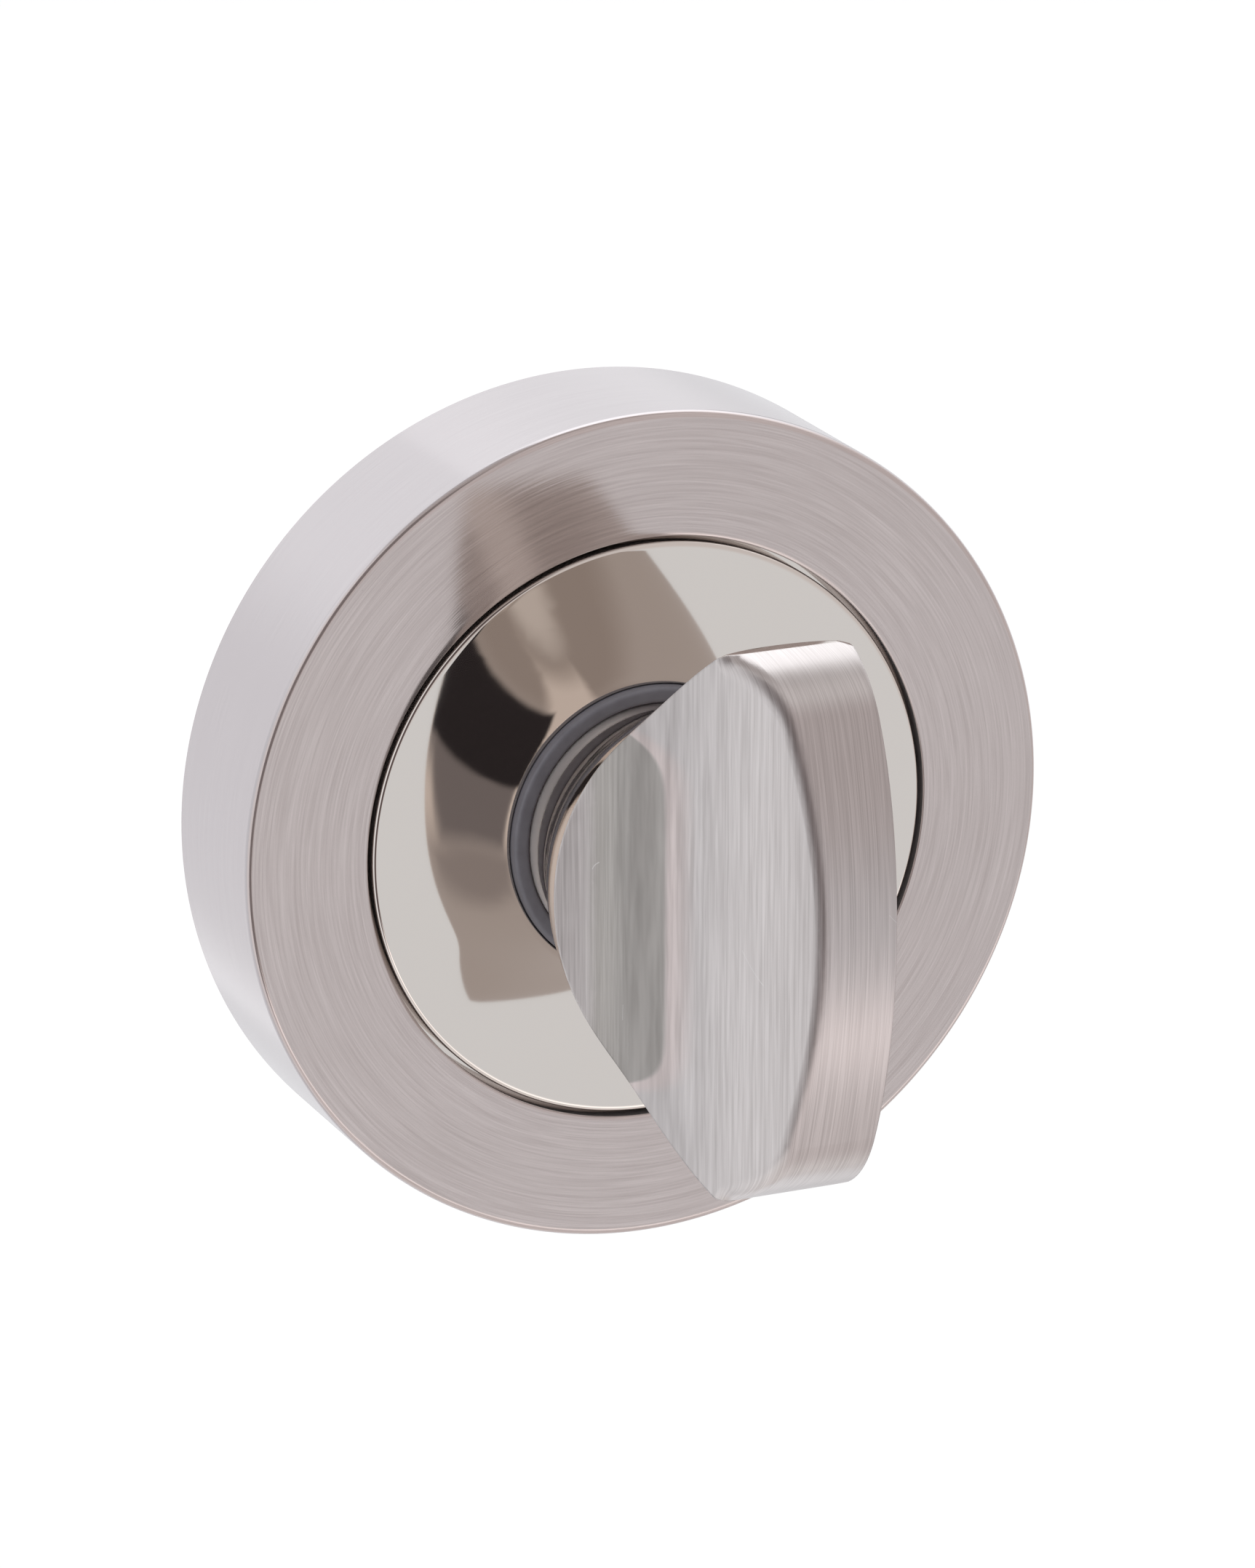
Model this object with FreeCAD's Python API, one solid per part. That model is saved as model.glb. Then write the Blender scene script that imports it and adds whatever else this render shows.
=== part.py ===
"""Bathroom thumb turn on a round two-tone rose, in millimetres.

Frame: the door's face is the plane Y = 0, the turn points along -Y, Z is up.
The turning axis is the Y axis. Heights above the door are called u, so Y = -u.
"""
import FreeCAD, Part
import math
import os

os.makedirs("parts", exist_ok=True)

# Clearances
RUNNING_GAP = 0.08      # radial, between the turning stem and what guides it
AXIAL_GAP = 0.06        # along the axis, between turning and standing faces
SEAT_GAP = 0.02         # between pieces that are clamped on each other
SOCKET_GAP = 0.03       # each side of the square spindle

# Rose cover, the satin outer cap
ROSE_RADIUS = 26.0
ROSE_DEPTH = 11.0
SKIRT_WALL = 1.5
FACE_THICK = 1.8
FACE_EDGE_ROUND = 0.35
GROOVE_WIDTH = 0.3      # dark line between the satin cap and the polished disc

# Rose insert, the polished disc
DISC_RADIUS = 18.0
DISC_EDGE_ROUND = 0.25
INSERT_FLANGE_THICK = 1.2
STEM_WINDOW_GAP = 0.45  # dark ring round the bush

# Neck bush
BUSH_WALL = 0.85
BUSH_PROUD = 0.6
BUSH_LIP_ROUND = 0.35
BUSH_FLANGE_WIDTH = 2.0
BUSH_FLANGE_THICK = 1.0

# Base plate
FLOOR_THICK = 1.6
RIM_WALL = 1.5
HUB_WALL = 1.3
CLIP_POCKET_PLAY = 0.4  # radial, round the wave washer
CLIP_POCKET_DEPTH = 2.2
BEARING_LENGTH = 2.2
FIXING_SPACING = 38.0
FIXING_HOLE_RADIUS = 2.15
SCREW_HEAD_RADIUS = 4.15
SCREW_BOSS_WALL = 0.8
SCREW_BOSS_HEIGHT = 4.0
RIB_COUNT = 6
RIB_WIDTH = 1.2
RIB_HEIGHT = 3.6

# Washers and retaining ring
THRUST_WASHER_THICK = 0.5
THRUST_WASHER_LEDGE = 1.33  # how far it stands out past the neck
WASHER_PLAY = 0.15      # radial play of a washer round the stem's boss
WAVE_THICK = 0.25
WAVE_LEDGE = 0.8        # how far it stands out past the retaining ring
WAVE_COUNT = 3
RING_THICK = 0.8
RING_GROOVE_DEPTH = 0.8
RING_BAND_WIDTH = 2.28
RING_MOUTH = 3.4
RING_LUG_HOLE_RADIUS = 0.55

# Turn: stem
NECK_RADIUS = 8.07
BOSS_STEP = 1.57        # from the neck in to the boss
BOSS_END = 0.15         # height of the boss's end above the door
NECK_SHOWING = 1.4      # straight neck in front of the rose

# Turn: grip, seen from the front an oval with its ends cut straight
GRIP_HALF_WIDTH = 10.6
GRIP_HALF_HEIGHT = 17.1
GRIP_END = 16.75        # the straight ends, above and below the axis
OVAL_FULLNESS = 2.65    # 2 is an ellipse, more is squarer
CROWN_RADIUS = 66.0
RIM_RISE = 19.0         # from the rose's face to where shoulder and polished land meet
CROWN_RISE = 4.4        # from there to the grip's front
RIM_LAND = 0.3
OVAL_POINTS = 32
SHOULDER_LEAN = 65.0    # degrees that the shoulder drops away at the rim
SHOULDER_ROUND = 5.3
FLARE_BEND = 1.35       # how late the flare opens to its full height
FLARE_SPREAD = 1.9      # how soon it opens to its full width

# Turn: scooped face for the thumb, on the left
SCOOP_FOOT_X = -10.6
SCOOP_DEPTH = 13.4      # from the grip's front down to the scoop's foot
SCOOP_CREST_X = 1.5
SCOOP_HOLLOW = 0.7      # dip of the scoop's lower half below its chord
SCOOP_SWELL = 1.0       # rise of its upper half above the chord
CREST_ROUND = 1.4

# Turn: bowed face for the finger, on the right
FLANK_CREST_X = 5.3
FLANK_FOOT_X = 10.6
FLANK_DEPTH = 13.4
FLANK_CREST_BOW = 1.7   # how far its ends curve back, at the crest
FLANK_FOOT_BOW = 5.6    # and at its foot

# Spindle and its screw
SPINDLE_SIDE = 5.0
SPINDLE_REACH = 44.0    # behind the door's face
SPINDLE_SEAT = 5.0      # its front end above the rose's face
SPINDLE_CHAMFER = 0.5
GRUB_RADIUS = 1.95
GRUB_SUNK = 0.97        # its outer end below the neck's surface
GRUB_HEX_RADIUS = 1.1
GRUB_HEX_DEPTH = 1.8

# Heights that follow from the sizes above
SLEEVE_BORE = NECK_RADIUS + RUNNING_GAP
SLEEVE_OUTER = SLEEVE_BORE + BUSH_WALL
BUSH_FLANGE_RADIUS = SLEEVE_OUTER + BUSH_FLANGE_WIDTH
THRUST_WASHER_RADIUS = NECK_RADIUS + THRUST_WASHER_LEDGE
BOSS_RADIUS = NECK_RADIUS - BOSS_STEP
RING_INNER_RADIUS = BOSS_RADIUS - RING_GROOVE_DEPTH + SEAT_GAP
RING_OUTER_RADIUS = RING_INNER_RADIUS + RING_BAND_WIDTH
WAVE_OUTER_RADIUS = RING_OUTER_RADIUS + WAVE_LEDGE
CLIP_POCKET_RADIUS = WAVE_OUTER_RADIUS + CLIP_POCKET_PLAY
WASHER_SEAT_RADIUS = THRUST_WASHER_RADIUS + WASHER_PLAY
CAP_INNER = ROSE_RADIUS - SKIRT_WALL
INSERT_FRONT_STEP = ROSE_DEPTH - FACE_THICK
INSERT_BACK = INSERT_FRONT_STEP - INSERT_FLANGE_THICK
BUSH_FLANGE_FRONT = INSERT_BACK - SEAT_GAP
BUSH_BACK = BUSH_FLANGE_FRONT - BUSH_FLANGE_THICK
HUB_FRONT = BUSH_BACK - SEAT_GAP
BEARING_FRONT = CLIP_POCKET_DEPTH + BEARING_LENGTH
SHOULDER = BEARING_FRONT + THRUST_WASHER_THICK + AXIAL_GAP
RING_BACK = BOSS_END + 0.3
RING_FRONT = RING_BACK + RING_THICK
GRUB_LENGTH = NECK_RADIUS - GRUB_SUNK - SPINDLE_SIDE / 2
GRUB_HEIGHT = (BUSH_BACK + ROSE_DEPTH) / 2
FLARE_START = ROSE_DEPTH + NECK_SHOWING
RIM_HEIGHT = ROSE_DEPTH + RIM_RISE
GRIP_FRONT = RIM_HEIGHT + CROWN_RISE
SCOOP_FOOT = GRIP_FRONT - SCOOP_DEPTH
FLANK_FOOT = GRIP_FRONT - FLANK_DEPTH
SPINDLE_IN_GRIP = ROSE_DEPTH + SPINDLE_SEAT
AXIS = FreeCAD.Vector(0, 1, 0)
ORIGIN = FreeCAD.Vector(0, 0, 0)


def at(x, u, z=0.0):
    """Point at x, height u above the door, and z."""
    return FreeCAD.Vector(x, -u, z)


def turned(profile):
    """Solid of revolution about the turning axis from (radius, u) corners."""
    points = [at(r, u) for r, u in profile]
    face = Part.Face(Part.makePolygon(points + points[:1]))
    return face.revolve(ORIGIN, AXIS, 360)


def round_rod(radius, low, high):
    """Cylinder on the turning axis between two heights."""
    return Part.makeCylinder(radius, high - low, at(0, high), AXIS)


def circle_edges(shape, radius, u):
    """Round edges of a radius that lie at a height."""
    return [
        e for e in shape.Edges
        if isinstance(e.Curve, Part.Circle)
        and abs(e.Curve.Radius - radius) < 1e-4
        and abs(e.Curve.Center.y + u) < 1e-4
    ]


def prism_z(section, half_height):
    """Face in the X-u plane, extruded both ways along Z."""
    lowered = section.copy()
    lowered.translate(FreeCAD.Vector(0, 0, -half_height))
    return lowered.extrude(FreeCAD.Vector(0, 0, 2 * half_height))


def rose_cover():
    """Satin cap: a skirt with an annular face."""
    window = DISC_RADIUS + GROOVE_WIDTH
    cap = turned([
        (ROSE_RADIUS, 0), (ROSE_RADIUS, ROSE_DEPTH), (window, ROSE_DEPTH),
        (window, INSERT_FRONT_STEP), (CAP_INNER, INSERT_FRONT_STEP), (CAP_INNER, 0),
    ])
    rims = circle_edges(cap, ROSE_RADIUS, ROSE_DEPTH)
    return cap.makeFillet(FACE_EDGE_ROUND, rims)


def rose_insert():
    """Polished disc, raised through the cap's window and trapped by its flange."""
    window = SLEEVE_OUTER + STEM_WINDOW_GAP
    flange = CAP_INNER - SEAT_GAP
    front_step = INSERT_FRONT_STEP - SEAT_GAP
    disc = turned([
        (window, INSERT_BACK), (window, ROSE_DEPTH), (DISC_RADIUS, ROSE_DEPTH),
        (DISC_RADIUS, front_step), (flange, front_step), (flange, INSERT_BACK),
    ])
    rims = circle_edges(disc, DISC_RADIUS, ROSE_DEPTH)
    return disc.makeFillet(DISC_EDGE_ROUND, rims)


def neck_bush():
    """Grey bush: a thin sleeve round the neck, with a flange behind the disc."""
    lip = ROSE_DEPTH + BUSH_PROUD
    bush = turned([
        (SLEEVE_BORE, BUSH_BACK), (SLEEVE_BORE, lip), (SLEEVE_OUTER, lip),
        (SLEEVE_OUTER, BUSH_FLANGE_FRONT), (BUSH_FLANGE_RADIUS, BUSH_FLANGE_FRONT),
        (BUSH_FLANGE_RADIUS, BUSH_BACK),
    ])
    rims = circle_edges(bush, SLEEVE_BORE, lip) + circle_edges(bush, SLEEVE_OUTER, lip)
    return bush.makeFillet(BUSH_LIP_ROUND, rims)


def base_plate():
    """Cast plate: floor, threaded rim, hub with the bearing, screw bosses and ribs."""
    rim_outer = CAP_INNER - SEAT_GAP
    rim_inner = rim_outer - RIM_WALL
    rim_front = INSERT_BACK - SEAT_GAP
    hub_inner = max(CLIP_POCKET_RADIUS, WASHER_SEAT_RADIUS)
    hub_outer = max(BUSH_FLANGE_RADIUS, hub_inner + HUB_WALL)
    plate = round_rod(rim_outer, 0, FLOOR_THICK)
    plate = plate.fuse(round_rod(rim_outer, 0, rim_front).cut(round_rod(rim_inner, 0, rim_front)))
    for k in range(RIB_COUNT):
        turn = 360.0 / RIB_COUNT * (k + 0.5)
        rib = Part.makeBox(rim_inner + RIM_WALL / 2, RIB_HEIGHT, RIB_WIDTH,
                           at(0, RIB_HEIGHT, -RIB_WIDTH / 2))
        rib.rotate(ORIGIN, AXIS, turn)
        plate = plate.fuse(rib)
    for side in (-1, 1):
        centre = side * FIXING_SPACING / 2
        boss = Part.makeCylinder(SCREW_HEAD_RADIUS + SCREW_BOSS_WALL, SCREW_BOSS_HEIGHT,
                                 at(centre, SCREW_BOSS_HEIGHT), AXIS)
        plate = plate.fuse(boss)
    plate = plate.common(round_rod(rim_outer, 0, rim_front))
    plate = plate.fuse(round_rod(hub_outer, 0, HUB_FRONT))
    for side in (-1, 1):
        centre = side * FIXING_SPACING / 2
        sink = SCREW_HEAD_RADIUS - FIXING_HOLE_RADIUS
        plate = plate.cut(Part.makeCylinder(FIXING_HOLE_RADIUS, SCREW_BOSS_HEIGHT,
                                            at(centre, SCREW_BOSS_HEIGHT), AXIS))
        plate = plate.cut(Part.makeCone(SCREW_HEAD_RADIUS, FIXING_HOLE_RADIUS, sink,
                                        at(centre, SCREW_BOSS_HEIGHT), AXIS))
    plate = plate.cut(round_rod(CLIP_POCKET_RADIUS, 0, CLIP_POCKET_DEPTH))
    plate = plate.cut(round_rod(BOSS_RADIUS + RUNNING_GAP, 0, HUB_FRONT))
    plate = plate.cut(round_rod(WASHER_SEAT_RADIUS, BEARING_FRONT, HUB_FRONT))
    return plate.removeSplitter()


def thrust_washer():
    """Plain washer between the stem's shoulder and the hub."""
    washer = round_rod(THRUST_WASHER_RADIUS, BEARING_FRONT + SEAT_GAP,
                       BEARING_FRONT + THRUST_WASHER_THICK)
    return washer.cut(round_rod(BOSS_RADIUS + WASHER_PLAY, 0, ROSE_DEPTH))


def wave_loop(radius, middle, amplitude):
    """Closed curve that waves along the axis as it goes round."""
    steps = 8 * WAVE_COUNT
    points = []
    for k in range(steps):
        angle = 2 * math.pi * k / steps
        u = middle + amplitude * math.cos(WAVE_COUNT * angle)
        points.append(at(radius * math.cos(angle), u, radius * math.sin(angle)))
    curve = Part.BSplineCurve()
    curve.interpolate(points, PeriodicFlag=True)
    return curve.toShape()


def wave_washer():
    """Wavy spring washer in the pocket, between the hub and the retaining ring."""
    inner = BOSS_RADIUS + WASHER_PLAY
    low = RING_FRONT + AXIAL_GAP
    high = CLIP_POCKET_DEPTH - SEAT_GAP
    amplitude = (high - low - WAVE_THICK) / 2
    back = (low + high - WAVE_THICK) / 2
    front = back + WAVE_THICK
    corners = [(inner, back), (WAVE_OUTER_RADIUS, back), (WAVE_OUTER_RADIUS, front), (inner, front)]
    loops = [wave_loop(radius, middle, amplitude) for radius, middle in corners]
    sides = [Part.makeRuledSurface(loops[k], loops[(k + 1) % 4]) for k in range(4)]
    washer = Part.Solid(Part.Shell(sides))
    if washer.Volume < 0:
        washer.reverse()
    return washer


def retaining_ring():
    """Open ring that snaps into the boss's groove, with two holed lugs."""
    band = round_rod(RING_OUTER_RADIUS, RING_BACK, RING_FRONT)
    lug_x = RING_MOUTH / 2 + 3 * RING_LUG_HOLE_RADIUS - RING_LUG_HOLE_RADIUS
    lug_z = (RING_INNER_RADIUS + RING_OUTER_RADIUS) / 2
    for side in (-1, 1):
        lug = Part.makeCylinder(2.2 * RING_LUG_HOLE_RADIUS, RING_THICK,
                                at(side * lug_x, RING_FRONT, -lug_z), AXIS)
        band = band.fuse(lug)
    band = band.cut(round_rod(RING_INNER_RADIUS, 0, ROSE_DEPTH))
    mouth = Part.makeBox(RING_MOUTH, ROSE_DEPTH, RING_OUTER_RADIUS * 2,
                         at(-RING_MOUTH / 2, ROSE_DEPTH, -2 * RING_OUTER_RADIUS))
    band = band.cut(mouth)
    for side in (-1, 1):
        band = band.cut(Part.makeCylinder(RING_LUG_HOLE_RADIUS, ROSE_DEPTH,
                                          at(side * lug_x, ROSE_DEPTH, -lug_z), AXIS))
    return band.removeSplitter()


def oval(half_width, half_height, u, fullness=2.0):
    """Oval outline round the turning axis at a height, squarer as fullness grows."""
    points = []
    for k in range(OVAL_POINTS):
        angle = 2 * math.pi * (k + 0.5) / OVAL_POINTS
        across, along = math.cos(angle), math.sin(angle)
        swell = (abs(across) ** fullness + abs(along) ** fullness) ** (-1 / fullness)
        points.append(at(half_width * across * swell, u, half_height * along * swell))
    curve = Part.BSplineCurve()
    curve.interpolate(points, PeriodicFlag=True)
    return Part.Wire(curve.toShape())


def flare():
    """Polished flare from the round neck to the oval rim, with the land above it."""
    rise = RIM_HEIGHT - RIM_LAND - FLARE_START
    wide = GRIP_HALF_WIDTH - NECK_RADIUS
    tall = GRIP_HALF_HEIGHT - NECK_RADIUS
    sections = [oval(NECK_RADIUS, NECK_RADIUS, FLARE_START)]
    squarer = OVAL_FULLNESS - 2.0
    for part_way in (0.12, 0.3, 0.5, 0.75, 1.0):
        across = 0.5 - 0.5 * math.cos(math.pi * min(1.0, FLARE_SPREAD * part_way))
        along = part_way ** FLARE_BEND
        sections.append(oval(NECK_RADIUS + wide * across, NECK_RADIUS + tall * along,
                             FLARE_START + rise * part_way, 2.0 + squarer * part_way ** 2))
    bell = Part.makeLoft(sections, True, False)
    neck = Part.Face(oval(NECK_RADIUS, NECK_RADIUS, FLARE_START))
    return bell.fuse(neck.extrude(at(0, SHOULDER - FLARE_START)))


def crown():
    """Oval prism above the flare, up to beyond the grip's front."""
    low = RIM_HEIGHT - RIM_LAND
    block = Part.Face(oval(GRIP_HALF_WIDTH, GRIP_HALF_HEIGHT, low, OVAL_FULLNESS))
    return block.extrude(at(0, GRIP_FRONT + 1.0 - low))


def side_profile():
    """Prism across the grip with its side profile: straight ends, shoulders and crown."""
    half_width = 2 * GRIP_HALF_WIDTH
    dome = Part.makeCylinder(CROWN_RADIUS, 2 * half_width,
                             at(-half_width, GRIP_FRONT - CROWN_RADIUS),
                             FreeCAD.Vector(1, 0, 0))
    top = GRIP_FRONT + 1.0
    inset = (top - RIM_HEIGHT) / math.tan(math.radians(SHOULDER_LEAN))
    corners = [(0.0, GRIP_END), (RIM_HEIGHT, GRIP_END), (top, GRIP_END - inset)]
    corners += [(u, -z) for u, z in reversed(corners)]
    points = [at(-half_width, u, z) for u, z in corners]
    block = Part.Face(Part.makePolygon(points + points[:1]))
    block = block.extrude(FreeCAD.Vector(2 * half_width, 0, 0)).common(dome)
    shoulders = [
        e for e in block.Edges
        if e.BoundBox.XLength > half_width and e.BoundBox.YMin < -RIM_HEIGHT - 1.0
    ]
    return block.makeFillet(SHOULDER_ROUND, shoulders)


def scoop_cutter():
    """What is cut away on the left to leave the thumb's scooped face."""
    foot = FreeCAD.Vector(SCOOP_FOOT_X, -SCOOP_FOOT, 0)
    crest = FreeCAD.Vector(SCOOP_CREST_X, -GRIP_FRONT, 0)
    chord = crest - foot
    across = FreeCAD.Vector(chord.y, -chord.x, 0).normalize()
    outward = across if across.x < 0 else across * -1
    points = [foot - chord * 0.25]
    stations = (
        (0.0, 0.0), (0.2, -SCOOP_HOLLOW), (0.34, 0.0), (0.6, SCOOP_SWELL), (0.82, SCOOP_SWELL),
    )
    for share, offset in stations:
        points.append(foot + chord * share + outward * offset)
    points.append(crest + outward * SCOOP_SWELL * 0.5)
    points.append(crest + chord * 0.2 - outward * 1.5)
    curve = Part.BSplineCurve()
    curve.interpolate(points)
    far = [points[-1] + outward * 30, points[0] + outward * 30]
    lid = Part.makePolygon([points[-1]] + far + [points[0]])
    section = Part.Face(Part.Wire([curve.toShape()] + lid.Edges))
    return prism_z(section, 2 * GRIP_HALF_HEIGHT)


def flank_section(u):
    """Outline, at a height, of what is cut away on the right."""
    share = (GRIP_FRONT - u) / (GRIP_FRONT - FLANK_FOOT)
    middle = FLANK_CREST_X + (FLANK_FOOT_X - FLANK_CREST_X) * share
    end = middle - FLANK_CREST_BOW - (FLANK_FOOT_BOW - FLANK_CREST_BOW) * share
    far = middle + 2 * GRIP_HALF_WIDTH
    low, high = -GRIP_HALF_HEIGHT, GRIP_HALF_HEIGHT
    bow = Part.Arc(at(end, u, low), at(middle, u), at(end, u, high)).toShape()
    lid = Part.makePolygon([at(end, u, high), at(far, u, high), at(far, u, low), at(end, u, low)])
    return Part.Wire([bow] + lid.Edges)


def flank_cutter():
    """What is cut away on the right: a bowed face that leans out towards its foot."""
    above = GRIP_FRONT + 2.0
    below = FLANK_FOOT - 2.0
    return Part.makeLoft([flank_section(above), flank_section(below)], True, True)


def front_block():
    """The grip's side profile, scooped and flanked, with its ridge rounded."""
    block = side_profile().cut(scoop_cutter())
    ridge = [
        e for e in block.Edges
        if e.BoundBox.XMax < FLANK_CREST_X and e.BoundBox.YMin < -RIM_HEIGHT - 0.1
        and e.BoundBox.YMax < -RIM_HEIGHT + 0.1
    ]
    block = block.makeFillet(CREST_ROUND, ridge)
    return block.cut(flank_cutter())


def turn_knob():
    """Grip, flare, neck and boss in one piece."""
    knob = flare().fuse(crown())
    knob = knob.common(front_block())
    knob = knob.fuse(round_rod(BOSS_RADIUS, BOSS_END, SHOULDER))
    groove = round_rod(BOSS_RADIUS + 1.0, RING_BACK - SEAT_GAP, RING_FRONT + SEAT_GAP)
    groove = groove.cut(round_rod(BOSS_RADIUS - RING_GROOVE_DEPTH, 0, ROSE_DEPTH))
    knob = knob.cut(groove)
    side = SPINDLE_SIDE + 2 * SOCKET_GAP
    socket = Part.makeBox(side, SPINDLE_IN_GRIP + SOCKET_GAP, side,
                          at(-side / 2, SPINDLE_IN_GRIP + SOCKET_GAP, -side / 2))
    knob = knob.cut(socket)
    tapping = Part.makeCylinder(GRUB_RADIUS + SEAT_GAP, 2 * NECK_RADIUS,
                                at(0, GRUB_HEIGHT), FreeCAD.Vector(0, 0, -1))
    return knob.cut(tapping).removeSplitter()


def spindle():
    """Square bar with chamfered ends."""
    length = SPINDLE_IN_GRIP + SPINDLE_REACH
    bar = Part.makeBox(SPINDLE_SIDE, length, SPINDLE_SIDE,
                       at(-SPINDLE_SIDE / 2, SPINDLE_IN_GRIP, -SPINDLE_SIDE / 2))
    ends = [e for e in bar.Edges if abs(e.BoundBox.YLength) < 1e-4]
    return bar.makeChamfer(SPINDLE_CHAMFER, ends)


def grub_screw():
    """Headless screw that clamps the spindle in the neck, with a hexagon socket."""
    tip = -SPINDLE_SIDE / 2 - SEAT_GAP
    screw = Part.makeCylinder(GRUB_RADIUS, GRUB_LENGTH, at(0, GRUB_HEIGHT, tip),
                              FreeCAD.Vector(0, 0, -1))
    corners = []
    for k in range(7):
        angle = math.pi / 3 * k
        corners.append(at(GRUB_HEX_RADIUS * math.cos(angle),
                          GRUB_HEIGHT + GRUB_HEX_RADIUS * math.sin(angle), tip - GRUB_LENGTH))
    socket = Part.Face(Part.makePolygon(corners)).extrude(FreeCAD.Vector(0, 0, GRUB_HEX_DEPTH))
    return screw.cut(socket)


PIECES = {
    "rose_cover": rose_cover,
    "rose_insert": rose_insert,
    "neck_bush": neck_bush,
    "base_plate": base_plate,
    "thrust_washer": thrust_washer,
    "wave_washer": wave_washer,
    "retaining_ring": retaining_ring,
    "turn_knob": turn_knob,
    "spindle": spindle,
    "grub_screw": grub_screw,
}

for name, make in PIECES.items():
    shape = make()
    solids = shape.Solids
    shape = solids[0] if len(solids) == 1 else shape
    shape.exportStep(f"parts/{name}.step")
    print(name, "solids", len(solids), "valid", shape.isValid(), "volume", round(shape.Volume, 2))
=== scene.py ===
"""Looks of a bathroom thumb turn: nickel rose, polished disc and brushed grip.

The turning axis is the Y axis, the door's face is the plane Y = 0, and all sizes are in metres.
"""

import logging
import math
from dataclasses import dataclass
from enum import Enum
from typing import Any

import bpy
from mathutils import Matrix, Vector


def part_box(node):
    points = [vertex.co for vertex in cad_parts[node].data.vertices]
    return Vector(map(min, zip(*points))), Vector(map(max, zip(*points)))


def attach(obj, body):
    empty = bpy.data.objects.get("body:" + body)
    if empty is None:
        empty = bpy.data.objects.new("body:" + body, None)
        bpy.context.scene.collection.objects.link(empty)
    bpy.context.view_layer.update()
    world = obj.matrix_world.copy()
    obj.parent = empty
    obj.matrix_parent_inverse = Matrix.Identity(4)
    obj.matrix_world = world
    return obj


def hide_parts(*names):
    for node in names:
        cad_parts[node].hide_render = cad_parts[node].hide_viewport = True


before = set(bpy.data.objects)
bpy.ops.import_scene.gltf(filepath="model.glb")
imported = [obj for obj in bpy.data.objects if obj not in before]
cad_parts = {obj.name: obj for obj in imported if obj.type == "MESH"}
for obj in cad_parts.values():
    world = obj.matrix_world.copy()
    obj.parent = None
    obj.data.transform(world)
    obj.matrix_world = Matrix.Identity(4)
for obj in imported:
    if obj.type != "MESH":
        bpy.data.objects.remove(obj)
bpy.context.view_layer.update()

LOG = logging.getLogger("thumb_turn")
MM = 0.001
WELD = 0.000001
ON_EDGE = 0.02 * MM
SMOOTH_ANGLE = math.radians(35)
DEGREES = 180.0 / math.pi
PHOTO_WIDTH = 1725

Colour = tuple[float, float, float]
Place = tuple[float, float, float]
Span = tuple[float, float]


class Shade:
    """A shader socket that Python's operators work on."""

    def __init__(self, maker: "NodeMaker", socket: Any) -> None:
        """Wraps a socket.

        Args:
            maker: What adds the nodes.
            socket: An output socket.
        """
        self.maker = maker
        self.socket = socket

    def _maths(self, operation: str, *values: Any) -> "Shade":
        """Adds a Math node.

        Args:
            operation: The node's operation.
            values: Its inputs, sockets or numbers.

        Returns:
            The node's output.
        """
        return self.maker.node("ShaderNodeMath", {"operation": operation}, dict(enumerate(values)))

    def __add__(self, other: Any) -> "Shade":
        """Sum."""
        return self._maths("ADD", self, other)

    def __radd__(self, other: Any) -> "Shade":
        """Sum, the other way round."""
        return self._maths("ADD", other, self)

    def __sub__(self, other: Any) -> "Shade":
        """Difference."""
        return self._maths("SUBTRACT", self, other)

    def __rsub__(self, other: Any) -> "Shade":
        """Difference, the other way round."""
        return self._maths("SUBTRACT", other, self)

    def __mul__(self, other: Any) -> "Shade":
        """Product."""
        return self._maths("MULTIPLY", self, other)

    def __rmul__(self, other: Any) -> "Shade":
        """Product, the other way round."""
        return self._maths("MULTIPLY", other, self)

    def __truediv__(self, other: Any) -> "Shade":
        """Quotient."""
        return self._maths("DIVIDE", self, other)

    def __rtruediv__(self, other: Any) -> "Shade":
        """Quotient, the other way round."""
        return self._maths("DIVIDE", other, self)

    def __pow__(self, other: Any) -> "Shade":
        """Power."""
        return self._maths("POWER", self, other)

    def __rpow__(self, other: Any) -> "Shade":
        """Power, the other way round."""
        return self._maths("POWER", other, self)

    def __neg__(self) -> "Shade":
        """The value with its sign changed."""
        return self._maths("SUBTRACT", 0.0, self)

    def __abs__(self) -> "Shade":
        """Absolute value."""
        return self._maths("ABSOLUTE", self)

    def __gt__(self, other: Any) -> "Shade":
        """One where greater, else zero."""
        return self._maths("GREATER_THAN", self, other)

    def __lt__(self, other: Any) -> "Shade":
        """One where less, else zero."""
        return self._maths("LESS_THAN", self, other)

    def root(self) -> "Shade":
        """Square root."""
        return self._maths("SQRT", self)

    def larger(self, other: Any) -> "Shade":
        """The larger of two values."""
        return self._maths("MAXIMUM", self, other)

    def ramp(self, low: float, high: float) -> "Shade":
        """Eases from 0 to 1 between two values.

        Args:
            low: Where it is 0.
            high: Where it is 1.

        Returns:
            The eased value.
        """
        return self.maker.node(
            "ShaderNodeMapRange", {"interpolation_type": "SMOOTHSTEP"},
            {"Value": self, "From Min": low, "From Max": high},
        )


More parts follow.
